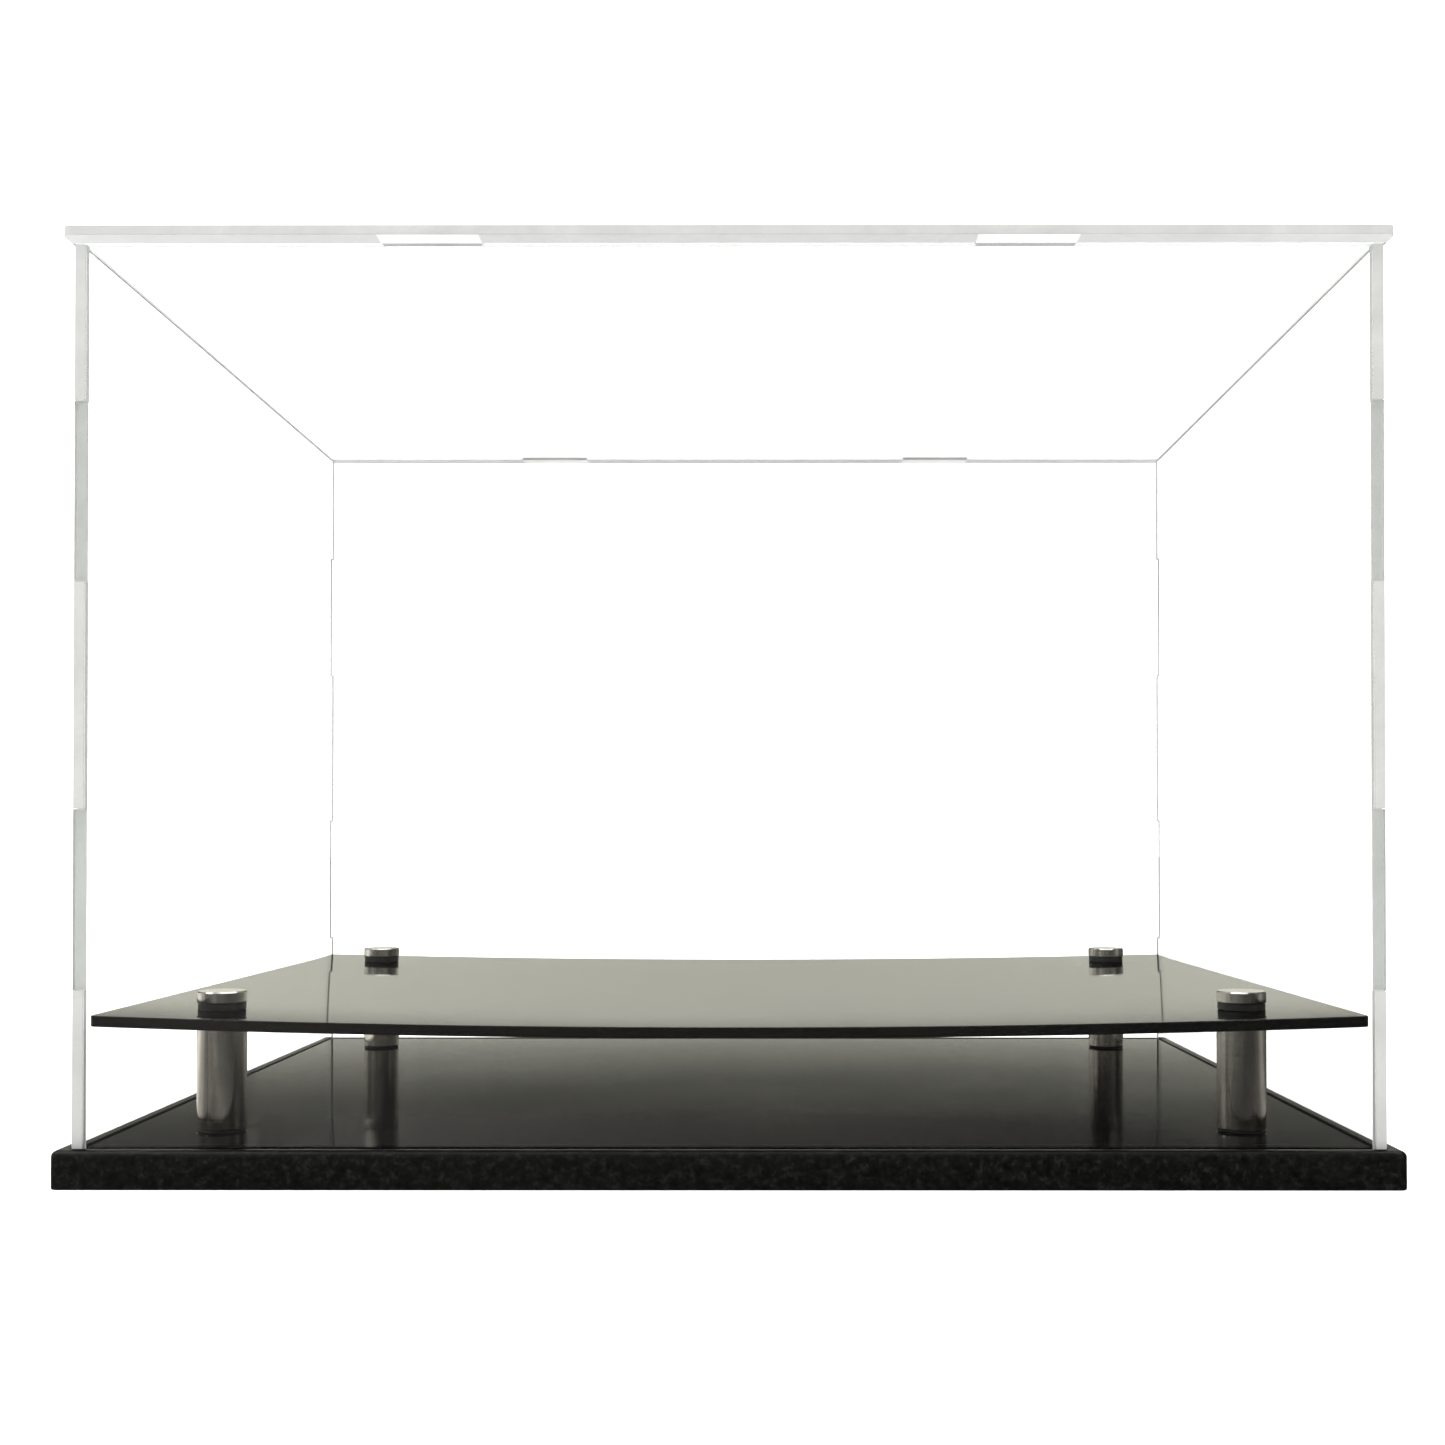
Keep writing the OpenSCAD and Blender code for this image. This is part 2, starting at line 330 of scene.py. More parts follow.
def painted_board():
    """Satin black paint, even and faintly glossy on flat faces, coarse on the cut edges."""
    made, tree, out = material("painted_board")
    place = add(tree, "ShaderNodeTexCoord")
    facing = add(tree, "ShaderNodeSeparateXYZ")
    flat = add(tree, "ShaderNodeMath", operation="ABSOLUTE")
    fibre = add(tree, "ShaderNodeTexNoise", Scale=900.0, Detail=4.0, Roughness=0.65)
    blotch = add(tree, "ShaderNodeTexNoise", Scale=380.0, Detail=3.0, Roughness=0.6)
    join(tree, place.outputs["Normal"], facing.inputs[0], facing.outputs[2], flat.inputs[0],
         place.outputs["Object"], fibre.inputs["Vector"],
         place.outputs["Object"], blotch.inputs["Vector"])
    edge = ramp(tree, flat.outputs[0], {0.45: 1.0, 0.95: 0.0})
    rough = add(tree, "ShaderNodeMapRange", From_Min=0.0, From_Max=1.0, To_Min=0.28, To_Max=0.78)
    mixed = add(tree, "ShaderNodeMath", operation="MULTIPLY")
    join(tree, fibre.outputs["Fac"], mixed.inputs[0], blotch.outputs["Fac"], mixed.inputs[1],
         edge, rough.inputs["Value"])
    tone = ramp(tree, mixed.outputs[0], {
        0.14: (0.0005, 0.0005, 0.0004), 0.27: (0.0022, 0.0022, 0.0018),
        0.42: (0.0085, 0.0085, 0.0066)})
    paint = add(tree, "ShaderNodeBsdfPrincipled", IOR=1.45)
    paint.inputs["Specular IOR Level"].default_value = 0.45
    grain = add(tree, "ShaderNodeBump", Distance=0.00025)
    depth = add(tree, "ShaderNodeMapRange", From_Min=0.0, From_Max=1.0, To_Min=0.08, To_Max=0.9)
    join(tree, edge, depth.inputs["Value"], depth.outputs[0], grain.inputs["Strength"],
         mixed.outputs[0], grain.inputs["Height"], grain.outputs[0], paint.inputs["Normal"],
         tone, paint.inputs["Base Color"], rough.outputs[0], paint.inputs["Roughness"],
         paint.outputs[0], out.inputs["Surface"])
    return made


pocket_w = front_hi.x + groove_gap
pocket_d = wall_hi.y + groove_gap
board_rings = edge_rings(board_w, board_d, board_corner, 0, foot_edge, steps=2, up=-1)
board_rings += edge_rings(board_w, board_d, board_corner, board_t, board_edge, steps=8)
for wider, deeper in ((groove_ease, 0), (groove_ease * 0.3, groove_ease * 0.3),
                      (0, groove_ease), (0, board_t - wall_lo.z)):
    board_rings.append(ring(pocket_w + wider, pocket_d + wider, groove_corner + wider,
                            board_t - deeper))
base_board = link_mesh("base_board_painted", stack("base_board", board_rings), painted_board())

screw_lo, screw_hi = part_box("base_screw_front_left")
screw_spot = (screw_lo + screw_hi) / 2
standoff_x, standoff_y = abs(screw_spot.x), abs(screw_spot.y)
corners = [(sx * standoff_x, sy * standoff_y) for sx in (-1, 1) for sy in (-1, 1)]
screw_hole = 2.8 * mm
head_reach = (screw_hi.x - screw_lo.x) / 2
head_deep = head_reach - screw_hole


def at(mesh, x, y):
    """The mesh moved sideways to (x, y)."""
    mesh.transform(Matrix.Translation((x, y, 0)))
    return mesh


cut_away(base_board, *[at(turned("countersink", [
    (0, -mm), (head_reach, -mm), (head_reach, screw_lo.z), (screw_hole, screw_lo.z + head_deep),
    (screw_hole, board_t), (0, board_t)], 32), x, y) for x, y in corners])
smooth(base_board)
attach(base_board, "base")
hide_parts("base_board")

# ---------------------------------------------------------------------------------------------
# Deck. A 3 mm sheet of black acrylic laid in the pocket, flush with the rim. It is smaller than
# the pocket all round, and the slot left between them holds the cover's walls.
deck_lo, deck_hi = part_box("deck_panel")
deck_edge = 0.3 * mm
deck_corner = 0.8 * mm
drill_reach = 100 * mm


def gloss_black(name, tone, gloss, haze):
    """Polished black sheet with the faint unevenness and hairlines of wiped acrylic."""
    made, tree, out = material(name)
    place = add(tree, "ShaderNodeTexCoord")
    wipe = add(tree, "ShaderNodeMapping")
    wipe.inputs["Scale"].default_value = (14, 160, 60)
    wipe.inputs["Rotation"].default_value = (0, 0, 0.5)
    hair = add(tree, "ShaderNodeTexNoise", Scale=6.0, Detail=5.0, Roughness=0.7)
    cloud = add(tree, "ShaderNodeTexNoise", Scale=9.0, Detail=2.0)
    join(tree, place.outputs["Object"], wipe.inputs[0], wipe.outputs[0], hair.inputs["Vector"],
         place.outputs["Object"], cloud.inputs["Vector"])
    both = add(tree, "ShaderNodeMath", operation="MULTIPLY")
    rough = add(tree, "ShaderNodeMapRange", From_Min=0.15, From_Max=0.4, To_Min=gloss, To_Max=haze)
    join(tree, hair.outputs["Fac"], both.inputs[0], cloud.outputs["Fac"], both.inputs[1],
         both.outputs[0], rough.inputs["Value"])
    colour = ramp(tree, cloud.outputs["Fac"], {0.3: tone, 0.7: tuple(t * 1.5 for t in tone)})
    sheet = add(tree, "ShaderNodeBsdfPrincipled", IOR=1.49)
    join(tree, colour, sheet.inputs["Base Color"], rough.outputs[0], sheet.inputs["Roughness"],
         sheet.outputs[0], out.inputs["Surface"])
    return made


def slab(name, lo, hi, corner, edge, finish):
    """A flat sheet between two corners with round plan corners and a small edge radius."""
    half_w, half_d = hi.x, hi.y
    rings = edge_rings(half_w, half_d, corner, lo.z, edge, steps=3, up=-1)
    rings += edge_rings(half_w, half_d, corner, hi.z, edge, steps=3)
    return link_mesh(name, stack(name, rings), finish)


def drill(radius):
    """A plain round cutter about the origin, longer than any sheet here is high."""
    return turned("drill", [(0, 0), (radius, 0), (radius, drill_reach), (0, drill_reach)], 48)


deck = slab("deck_gloss_panel", deck_lo, deck_hi, deck_corner, deck_edge,
            gloss_black("deck_acrylic", (0.0016, 0.0016, 0.0014), 0.04, 0.11))
cut_away(deck, *[at(drill(screw_hole), x, y) for x, y in corners])
smooth(deck)
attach(deck, "base")
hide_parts("deck_panel")

# ---------------------------------------------------------------------------------------------
# Riser. A 3.5 mm black acrylic sheet, a little smaller than the inside of the cover. It is drilled
# at its corners and clamped between the barrels and the caps of the four standoffs. What it has
# carried has left it bowed down a little, and its free rear edge tipped up.
riser_lo, riser_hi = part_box("riser_panel")
riser_corner = 2.0 * mm
riser_edge = 0.3 * mm
riser_crease = 8
stud_hole = 4.3 * mm
sag_front, sag_rear = 2.5 * mm, 1.9 * mm
rear_lift = 0.7 * mm
bend_cells = (26, 18)


def sink(point):
    """Height change of the bowed riser: none at the standoffs, most half-way between them."""
    across, along = point.x / standoff_x, point.y / standoff_y
    sag = (sag_front * (1 - along) + sag_rear * (1 + along)) / 2
    return sag * (across ** 2 - 1) + rear_lift * max(0, along ** 2 - 1) * (along > 0)


def bend(piece, change, cells):
    """Cuts a sheet into a grid of cells and moves each corner by change(point)."""
    shape = bmesh.new()
    shape.from_mesh(piece.data)
    for axis, count in enumerate(cells):
        reach = max(v.co[axis] for v in shape.verts)
        normal = [float(axis == i) for i in range(3)]
        for step in range(1, count):
            place = [n * reach * (2 * step / count - 1) for n in normal]
            bmesh.ops.bisect_plane(shape, geom=shape.verts[:] + shape.edges[:] + shape.faces[:],
                                   plane_co=place, plane_no=normal)
    for vertex in shape.verts:
        vertex.co.z += change(vertex.co)
    shape.to_mesh(piece.data)
    shape.free()


riser = slab("riser_gloss_panel", riser_lo, riser_hi, riser_corner, riser_edge,
             gloss_black("riser_acrylic", (0.0012, 0.0012, 0.0012), 0.02, 0.06))
cut_away(riser, *[at(drill(stud_hole), x, y) for x, y in corners])
bend(riser, sink, bend_cells)
smooth(riser, riser_crease)
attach(riser, "base")
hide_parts("riser_panel")

# ---------------------------------------------------------------------------------------------
# Standoff barrels. Four lengths of stainless bar, turned, chamfered and polished, tapped from
# below for the base screw and from above for the cap's stud.
barrel_lo, barrel_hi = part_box("barrel_front_left")
barrel_r = (barrel_hi.x - barrel_lo.x) / 2
chamfer = 0.45 * mm
lead_in = 0.3 * mm
screw_bore, stud_bore = 2.55 * mm, 4.05 * mm
bore_deep = 11 * mm
ends = [f"{end}_{side}" for end in ("front", "back") for side in ("left", "right")]


def four_corners():
    """Geometry nodes: sets one turned piece at the four standoffs, each turned its own way."""
    tree = bpy.data.node_groups.new("four_corners", "GeometryNodeTree")
    face = tree.interface
    face.new_socket("Turned piece", in_out="INPUT", socket_type="NodeSocketGeometry")
    for name in ("Spacing X", "Spacing Y"):
        face.new_socket(name, in_out="INPUT", socket_type="NodeSocketFloat")
    face.new_socket("Seed", in_out="INPUT", socket_type="NodeSocketInt")
    face.new_socket("Finish", in_out="INPUT", socket_type="NodeSocketMaterial")
    face.new_socket("Row", in_out="OUTPUT", socket_type="NodeSocketGeometry")
    given = add(tree, "NodeGroupInput")
    here = add(tree, "GeometryNodeInputPosition")
    keep = add(tree, "GeometryNodeStoreNamedAttribute", data_type="FLOAT_VECTOR", domain="POINT")
    keep.inputs["Name"].default_value = "turned"
    grid = add(tree, "GeometryNodeMeshGrid")
    grid.inputs["Vertices X"].default_value = 2
    grid.inputs["Vertices Y"].default_value = 2
    spin = add(tree, "FunctionNodeRandomValue", data_type="FLOAT_VECTOR")
    spin.inputs[0].default_value = (0, 0, 0)
    spin.inputs[1].default_value = (0, 0, 2 * math.pi)
    place = add(tree, "GeometryNodeInstanceOnPoints")
    real = add(tree, "GeometryNodeRealizeInstances")
    coat = add(tree, "GeometryNodeSetMaterial")
    out = add(tree, "NodeGroupOutput")
    join(tree, given.outputs["Turned piece"], keep.inputs["Geometry"],
         here.outputs[0], keep.inputs["Value"], keep.outputs[0], place.inputs["Instance"],
         given.outputs["Spacing X"], grid.inputs["Size X"],
         given.outputs["Spacing Y"], grid.inputs["Size Y"],
         grid.outputs["Mesh"], place.inputs["Points"], given.outputs["Seed"], spin.inputs["Seed"],
         spin.outputs[0], place.inputs["Rotation"], place.outputs[0], real.inputs[0],
         real.outputs[0], coat.inputs["Geometry"],
         given.outputs["Finish"], coat.inputs["Material"], coat.outputs[0], out.inputs[0])
    return tree


corner_tree = four_corners()


def set_at_corners(name, mesh, finish, nodes, seed, angle=25):
    """Four copies of a turned mesh as one piece, which stands for those CAD nodes."""
    piece = link_mesh(name, mesh)
    smooth(piece, angle)
    step = piece.modifiers.new("corners", "NODES")
    step.node_group = corner_tree
    values = {"Spacing X": 2 * standoff_x, "Spacing Y": 2 * standoff_y, "Seed": seed,
              "Finish": finish}
    for item in corner_tree.interface.items_tree:
        if item.name in values:
            step[item.identifier] = values[item.name]
    piece.data = baked_mesh(piece, name)
    piece.modifiers.clear()
    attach(piece, "base")
    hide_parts(*nodes)


def polished_steel(name, tone, gloss, lines):
    """Turned stainless: fine rings round the bar, small shifts of tone, and a soft polish."""
    made, tree, out = material(name)
    place = add(tree, "ShaderNodeAttribute", attribute_name="turned")
    squeeze = add(tree, "ShaderNodeMapping")
    squeeze.inputs["Scale"].default_value = (30, 30, 4200)
    rings = add(tree, "ShaderNodeTexNoise", Scale=1.0, Detail=3.0, Roughness=0.6)
    blush = add(tree, "ShaderNodeTexNoise", Scale=160.0, Detail=2.0)
    join(tree, place.outputs["Vector"], squeeze.inputs[0], squeeze.outputs[0],
         rings.inputs["Vector"], place.outputs["Vector"], blush.inputs["Vector"])
    colour = ramp(tree, blush.outputs["Fac"], {0.3: tuple(t * 0.86 for t in tone), 0.7: tone})
    rough = add(tree, "ShaderNodeMapRange", From_Min=0.3, From_Max=0.7, To_Min=gloss,
                To_Max=gloss + 0.1)
    ridge = add(tree, "ShaderNodeBump", Distance=0.00002, Strength=lines)
    steel = add(tree, "ShaderNodeBsdfPrincipled", Metallic=1.0)
    join(tree, colour, steel.inputs["Base Color"], rings.outputs["Fac"], rough.inputs["Value"],
         rough.outputs[0], steel.inputs["Roughness"], rings.outputs["Fac"], ridge.inputs["Height"],
         ridge.outputs[0], steel.inputs["Normal"], steel.outputs[0], out.inputs["Surface"])
    return made


low, high = barrel_lo.z, barrel_hi.z
set_at_corners("standoff_barrels", turned("barrel", [
    (0, low + bore_deep + screw_bore / 2), (screw_bore, low + bore_deep),
    (screw_bore, low + lead_in), (screw_bore + lead_in, low), (barrel_r - chamfer, low),
    (barrel_r, low + chamfer), (barrel_r, high - chamfer), (barrel_r - chamfer, high),
    (stud_bore + lead_in, high), (stud_bore, high - lead_in), (stud_bore, high - bore_deep),
    (0, high - bore_deep - stud_bore / 2)], 96),
    polished_steel("barrel_steel", (0.80, 0.775, 0.73), 0.06, 0.25),
    [f"barrel_{end}" for end in ends], seed=3)

# ---------------------------------------------------------------------------------------------
# Caps. The same bar cut to short discs, each with a threaded stud below that goes down through
# the riser into its barrel. They are done up by hand, so their rims are chamfered and smooth.
cap_lo, cap_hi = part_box("cap_front_left")
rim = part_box("cap_washer_front_left")[1].z
stud_r = 4 * mm
stud_pitch = 1.25 * mm
stud_tip = 0.5 * mm
plain_run = 2 * mm
thread_steps = 8
thread_depth = 0.61


def threaded(mesh, radius, low, high, pitch):
    """Cuts a helical thread into the upright wall of that radius between two heights."""
    for vertex in mesh.vertices:
        x, y, z = vertex.co
        if abs(math.hypot(x, y) - radius) < 0.01 * mm and low < z < high:
            turn = (z / pitch - math.atan2(y, x) / (2 * math.pi)) % 1
            fade = min(1, (z - low) / pitch, (high - z) / pitch)
            shrink = 1 - thread_depth * pitch * fade * abs(2 * turn - 1) / radius
            vertex.co = (x * shrink, y * shrink, z)
    return mesh


def thread_rows(radius, low, high, pitch):
    """The rows that a thread needs, as profile points going up."""
    rows = round((high - low) / pitch * thread_steps)
    return [(radius, low + (high - low) * row / rows) for row in range(rows + 1)]


stud_low, stud_high = cap_lo.z + stud_tip, rim - plain_run
cap_profile = [(0, cap_lo.z), (stud_r - stud_tip, cap_lo.z)]
cap_profile += thread_rows(stud_r, stud_low, stud_high, stud_pitch)
cap_profile += [(stud_r, rim), (barrel_r - chamfer, rim), (barrel_r, rim + chamfer),
                (barrel_r, cap_hi.z - chamfer), (barrel_r - chamfer, cap_hi.z), (0, cap_hi.z)]
set_at_corners("standoff_caps", threaded(
    turned("cap", cap_profile, 96), stud_r, stud_low, stud_high, stud_pitch),
    polished_steel("cap_steel", (0.84, 0.82, 0.79), 0.05, 0.15),
    [f"cap_{end}" for end in ends], seed=5)

# ---------------------------------------------------------------------------------------------
# Washers. Black nylon rings: a thin one under each barrel, a thinner one between barrel and
# riser, and a thick collar between riser and cap. They keep steel off the acrylic.
washer_edge = 0.15 * mm


def black_nylon():
    """Moulded black nylon, dull, with a fine pebbled skin."""
    made, tree, out = material("black_nylon")
    place = add(tree, "ShaderNodeTexCoord")
    pebble = add(tree, "ShaderNodeTexNoise", Scale=2600.0, Detail=2.0)
    tone = ramp(tree, pebble.outputs["Fac"], {0.35: 0.006, 0.65: 0.014})
    rough = add(tree, "ShaderNodeMapRange", From_Min=0.3, From_Max=0.7, To_Min=0.36, To_Max=0.55)
    skin = add(tree, "ShaderNodeBump", Distance=0.00004, Strength=0.4)
    nylon = add(tree, "ShaderNodeBsdfPrincipled", IOR=1.5)
    join(tree, place.outputs["Object"], pebble.inputs["Vector"], tone, nylon.inputs["Base Color"],
         pebble.outputs["Fac"], rough.inputs["Value"], rough.outputs[0], nylon.inputs["Roughness"],
         pebble.outputs["Fac"], skin.inputs["Height"], skin.outputs[0], nylon.inputs["Normal"],
         nylon.outputs[0], out.inputs["Surface"])
    return made


def washer_ring(node, hole):
    """A ring of the CAD washer's size, its four rims softened."""
    lo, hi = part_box(node)
    outer, low, high, e = (hi.x - lo.x) / 2, lo.z, hi.z, washer_edge
    return turned("washer", [
        (hole, low + e), (hole + e, low), (outer - e, low), (outer, low + e),
        (outer, high - e), (outer - e, high), (hole + e, high), (hole, high - e)], 64)


nylon = black_nylon()
for seed, (kind, hole) in enumerate((
        ("foot_washer", screw_hole), ("riser_washer", stud_hole), ("cap_washer", stud_hole))):
    set_at_corners(kind + "s", washer_ring(f"{kind}_front_left", hole), nylon,
                   [f"{kind}_{end}" for end in ends], seed=11 + seed)

# ---------------------------------------------------------------------------------------------
# Base screws. Countersunk steel machine screws with a hexagon socket, sunk just below the
# board's underside and screwed up into the barrels.
shank_r = 2.5 * mm
screw_pitch = 0.8 * mm
hex_flats = 3 * mm
hex_deep = 2 * mm
head_rim = 0.2 * mm
head_gap = 0.1 * mm
head_ease = 0.3 * mm
screw_tip = 0.5 * mm

head_z = screw_lo.z
shank_z = head_z + head_deep + head_ease + head_rim
thread_low, thread_high = shank_z + mm, screw_hi.z - screw_tip
screw_profile = [(0, head_z), (head_reach - head_ease, head_z),
                 (head_reach - head_gap, head_z + head_rim), (shank_r, shank_z)]
screw_profile += thread_rows(shank_r, thread_low, thread_high, screw_pitch)
screw_profile += [(shank_r - screw_tip, screw_hi.z), (0, screw_hi.z)]
base_screw = link_mesh("screw", threaded(
    turned("screw", screw_profile, 48), shank_r, thread_low, thread_high, screw_pitch))
hex_reach = hex_flats / 2 / math.cos(math.pi / 6)
cut_away(base_screw, turned("hexagon", [
    (0, head_z - mm), (hex_reach, head_z - mm), (hex_reach, head_z + hex_deep),
    (0, head_z + hex_deep + hex_reach / 2)], 6))
screw_mesh = base_screw.data
bpy.data.objects.remove(base_screw)
set_at_corners("base_screws", screw_mesh,
               polished_steel("screw_steel", (0.56, 0.55, 0.54), 0.24, 0.4),
               [f"base_screw_{end}" for end in ends], seed=17)

# ---------------------------------------------------------------------------------------------
# Cover. Five sheets of clear acrylic cut by laser and bonded with solvent: fingers lock the
# front and back to the sides, and two tabs of each stand up into slots in the top panel. The cut
# edges are milky grey, partly their dull cut face and partly painted light for what refracts
# inside the sheet. The lips' undersides are painted pale grey, and the wall tops and tabs carry a
# painted highlight.
sheet_edge = 0.22 * mm
bond = 0.03 * mm
crisp = 50


def acrylic(name, tints, gloss, passes, sheen, shade, ribs=None):
    """Cast acrylic with wipe marks, clear or milky. Shadows pass it tinted by shade."""
    made, tree, out = material(name)
    place = add(tree, "ShaderNodeTexCoord")
    wipe = add(tree, "ShaderNodeTexNoise", Scale=22.0, Detail=6.0, Roughness=0.7, Distortion=1.5)
    tint = ramp(tree, wipe.outputs["Fac"], {0.35: tints[0], 0.65: tints[1]})
    rough = add(tree, "ShaderNodeMapRange", From_Min=0.4, From_Max=0.8, To_Min=gloss[0],
                To_Max=gloss[1])
    sheet = add(tree, "ShaderNodeBsdfPrincipled", IOR=1.49)
    sheet.inputs["Transmission Weight"].default_value = passes
    sheet.inputs["Specular IOR Level"].default_value = sheen
    shadow = add(tree, "ShaderNodeBsdfTransparent", Color=(*shade, 1))
    path = add(tree, "ShaderNodeLightPath")
    soft = add(tree, "ShaderNodeMath", operation="MAXIMUM")
    mix = add(tree, "ShaderNodeMixShader")
    join(tree, place.outputs["Object"], wipe.inputs["Vector"], tint, sheet.inputs["Base Color"],
         wipe.outputs["Fac"], rough.inputs["Value"], rough.outputs[0], sheet.inputs["Roughness"],
         path.outputs["Is Shadow Ray"], soft.inputs[0], path.outputs["Is Diffuse Ray"],
         soft.inputs[1], soft.outputs[0], mix.inputs[0], sheet.outputs[0], mix.inputs[1],
         shadow.outputs[0], mix.inputs[2], mix.outputs[0], out.inputs["Surface"])
    if ribs:
        rib = add(tree, "ShaderNodeTexNoise", Scale=ribs, Detail=2.0)
        ridge = add(tree, "ShaderNodeBump", Distance=0.00002, Strength=0.2)
        join(tree, place.outputs["Object"], rib.inputs["Vector"], rib.outputs["Fac"],
             ridge.inputs["Height"], ridge.outputs[0], sheet.inputs["Normal"])
    return made


clear = acrylic("clear_acrylic", ((0.985, 0.99, 0.985), (0.995, 1.0, 0.995)), (0.0, 0.015),
                1.0, 0.06, (0.95, 0.955, 0.95))
# A milky face is dull and lets nothing through, because it is also seen from inside the sheet.
milky = (0.0, 0.0, (0.85, 0.86, 0.85))
# The edges' milky grey is partly the dull cut face and partly painted light, standing in for light
# refracted inside the sheet.
milky_edge_painted_light = acrylic("milky_edge_with_painted_light", ((0.26, 0.262, 0.256), (0.30, 0.302, 0.296)), (0.15, 0.35),
                      *milky, ribs=600.0)
# Painted light: a pale grey for the lips' undersides, standing in for the light seen through the
# overhang.
lip_painted_light = acrylic("lip_underside_painted_light", ((0.40, 0.402, 0.397), (0.44, 0.442, 0.437)), (0.2, 0.35),
                     *milky)
# Painted highlight: near-white for the wall tops and under the tabs, standing in for light seen
# through them.
painted_highlight_edge = acrylic("painted_highlight_acrylic", ((0.58, 0.58, 0.58), (0.62, 0.62, 0.62)), (0.2, 0.35),
                      *milky)


def levels(node, axis, keep=lambda point: True):
    """The distinct places, along one axis, of those corners of a CAD node that keep() accepts."""
    points = [v.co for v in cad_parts[node].data.vertices]
    return sorted({round(p[axis] / mm, 2) * mm for p in points if keep(p)})


def finish_sheet(piece, flat_axis, node):
    """Softens a sheet's edges, finishes faces and edges, gives the wall tops a painted highlight,
    and fixes it.
    """
    shape = bmesh.new()
    shape.from_mesh(piece.data)
    bmesh.ops.recalc_face_normals(shape, faces=shape.faces)
    rims = [e for e in shape.edges
            if any(abs(f.normal[flat_axis]) > 0.9 for f in e.link_faces)
            and any(abs(f.normal[flat_axis]) < 0.1 for f in e.link_faces)]
    bmesh.ops.bevel(shape, geom=rims, offset=sheet_edge, segments=2, profile=0.5, affect="EDGES")
    bmesh.ops.recalc_face_normals(shape, faces=shape.faces)
    for face in shape.faces:
        face.material_index = 0 if abs(face.normal[flat_axis]) > 0.999 else 1
        # Wall tops take slot 2, the painted highlight.
        if face.normal.z > 0.5 and abs(face.calc_center_median().z - wall_hi.z) < 0.3 * mm:
            face.material_index = 2
    shape.to_mesh(piece.data)
    shape.free()
    smooth(piece, crisp)
    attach(piece, "cover")
    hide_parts(node)


def cut_sheet(name, half_outline, flat_axis, low, high, node):
    """A flat sheet from one half of its outline, (across, up) points going up, and its mirror."""
    outline = half_outline + [(-across, up) for across, up in reversed(half_outline)]
    shape = bmesh.new()
    rows = []
    for depth in (low, high):
        row = []
        for across, up in outline:
            point = [across, up]
            point.insert(flat_axis, depth)
            row.append(shape.verts.new(point))
        rows.append(row)
    shape.faces.new(rows[0])
    shape.faces.new(rows[1])
    for i in range(len(outline)):
        j = (i + 1) % len(outline)
        shape.faces.new((rows[0][i], rows[0][j], rows[1][j], rows[1][i]))
    mesh = bpy.data.meshes.new(name)
    shape.to_mesh(mesh)
    shape.free()
    finish_sheet(link_mesh(name, mesh, clear, milky_edge_painted_light, painted_highlight_edge), flat_axis, node)


foot = wall_lo.z + bond
wall_top = wall_hi.z - bond
inner_x, outer_x = -wall_hi.x, -wall_lo.x
inner_y, outer_y = -front_hi.y, wall_hi.y
finger_z = levels("cover_front", 2, lambda p: abs(p.x) > outer_x - mm)
tab_x = levels("cover_front", 0, lambda p: p.x > 0 and p.z > wall_hi.z + mm)
notch_z = levels("cover_left", 2, lambda p: abs(abs(p.y) - inner_y) < mm)

front_half = [(inner_x - bond, foot)]
for z_low, z_high in (finger_z[:2], finger_z[2:4]):
    front_half += [(inner_x - bond, z_low), (outer_x, z_low), (outer_x, z_high),
                   (inner_x - bond, z_high)]
front_half += [(inner_x - bond, wall_top), (tab_x[1], wall_top), (tab_x[1], front_hi.z),
               (tab_x[0], front_hi.z), (tab_x[0], wall_top)]
side_half = [(outer_y, foot)]
for z_low, z_high in (notch_z[:2], notch_z[2:4]):
    side_half += [(outer_y, z_low), (inner_y - bond, z_low), (inner_y - bond, z_high),
                  (outer_y, z_high)]
side_half += [(outer_y, wall_top)]

cut_sheet("cover_front_sheet", front_half, 1, -outer_y, -inner_y, "cover_front")
cut_sheet("cover_back_sheet", front_half, 1, inner_y, outer_y, "cover_back")
cut_sheet("cover_left_sheet", side_half, 0, -outer_x, -inner_x, "cover_left")
cut_sheet("cover_right_sheet", side_half, 0, inner_x, outer_x, "cover_right")

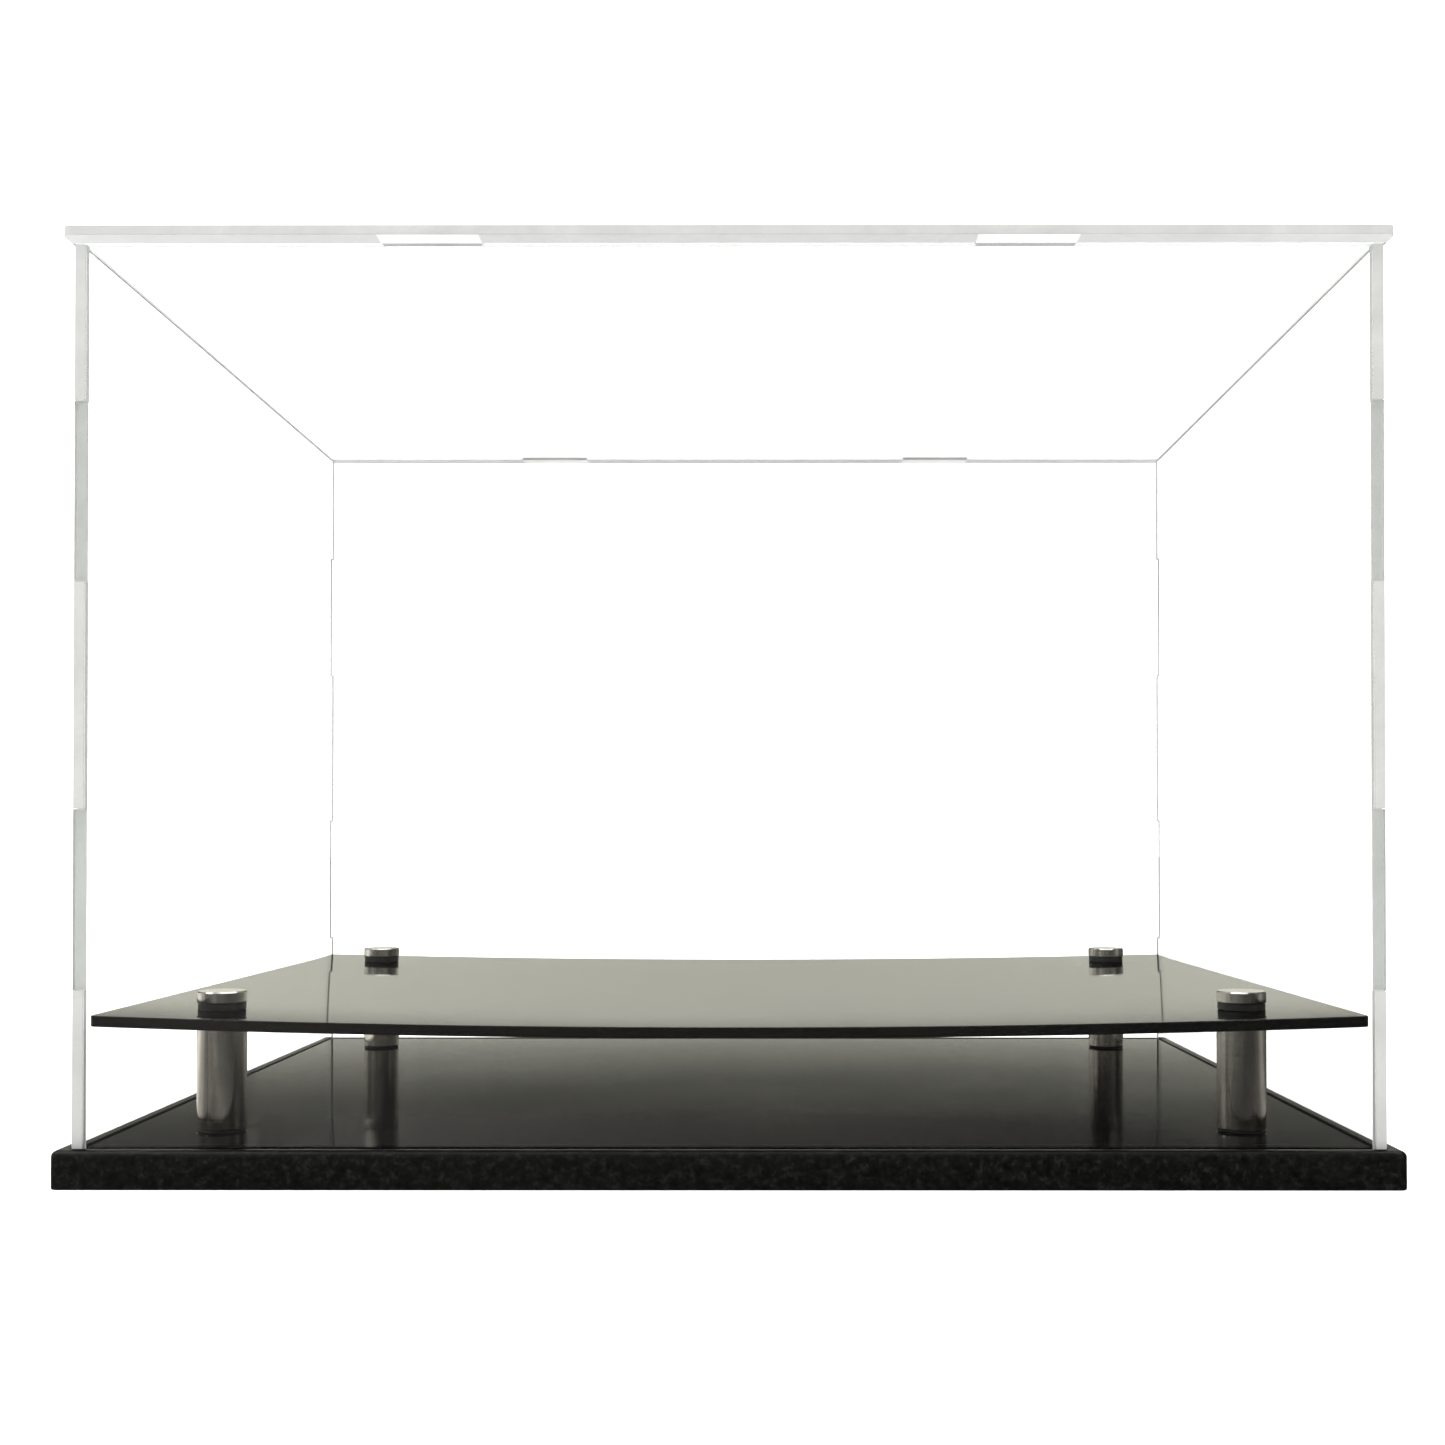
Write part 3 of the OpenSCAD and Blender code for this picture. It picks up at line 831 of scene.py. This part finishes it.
top_lo, top_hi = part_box("cover_top")
top_corner = 3 * mm
slot_x = levels("cover_top", 0, lambda p: 0 < p.x < inner_x - mm and abs(p.y) < top_hi.y - mm)
slot_y = levels("cover_top", 1, lambda p: 0 < p.y < top_hi.y - mm and abs(p.x) < inner_x - mm)


def block(x, y, z):
    """A box cutter between pairs of places."""
    shape = bmesh.new()
    bmesh.ops.create_cube(shape, size=1)
    for vertex in shape.verts:
        vertex.co = [pair[int(side > 0)] for pair, side in zip((x, y, z), vertex.co)]
    mesh = bpy.data.meshes.new("block")
    shape.to_mesh(mesh)
    shape.free()
    return mesh


top_panel = link_mesh("cover_top_sheet", stack("cover_top", [
    ring(top_hi.x, top_hi.y, top_corner, z, 8) for z in (top_lo.z, top_hi.z)]), clear, milky_edge_painted_light)
cut_away(top_panel, *[block(sorted((sx * slot_x[0], sx * slot_x[-1])),
                            sorted((sy * slot_y[0], sy * slot_y[-1])),
                            (top_lo.z - mm, top_hi.z + mm))
                      for sx in (-1, 1) for sy in (-1, 1)])

# The lips, outside the walls, are split off along their length and at the ends of the tabs, so
# that their undersides can take painted light: pale grey along the lips, a painted highlight at
# the tabs.
lip_y = slot_y[-1] + 0.05 * mm
tab_ends = (slot_x[0] - 0.2 * mm, slot_x[-1] + 0.2 * mm)
shape = bmesh.new()
shape.from_mesh(top_panel.data)
for axis, places in ((1, (lip_y,)), (0, tab_ends)):
    for place in (side * p for p in places for side in (-1, 1)):
        lips = [f for f in shape.faces if axis == 1 or abs(f.calc_center_median().y) > lip_y]
        parts = {part for f in lips for part in (f, *f.edges, *f.verts)}
        near, normal = [0.0] * 3, [0.0] * 3
        near[axis], normal[axis] = place, 1.0
        bmesh.ops.bisect_plane(shape, geom=list(parts), plane_co=near, plane_no=normal)
shape.to_mesh(top_panel.data)
shape.free()
finish_sheet(top_panel, 2, "cover_top")
# The lips' undersides: a painted highlight under the tabs, painted pale grey elsewhere.
for finish in (painted_highlight_edge, lip_painted_light):
    top_panel.data.materials.append(finish)
for face in top_panel.data.polygons:
    if face.normal.z < -0.999 and abs(face.center.y) > lip_y:
        face.material_index = 2 if tab_ends[0] < abs(face.center.x) < tab_ends[1] else 3
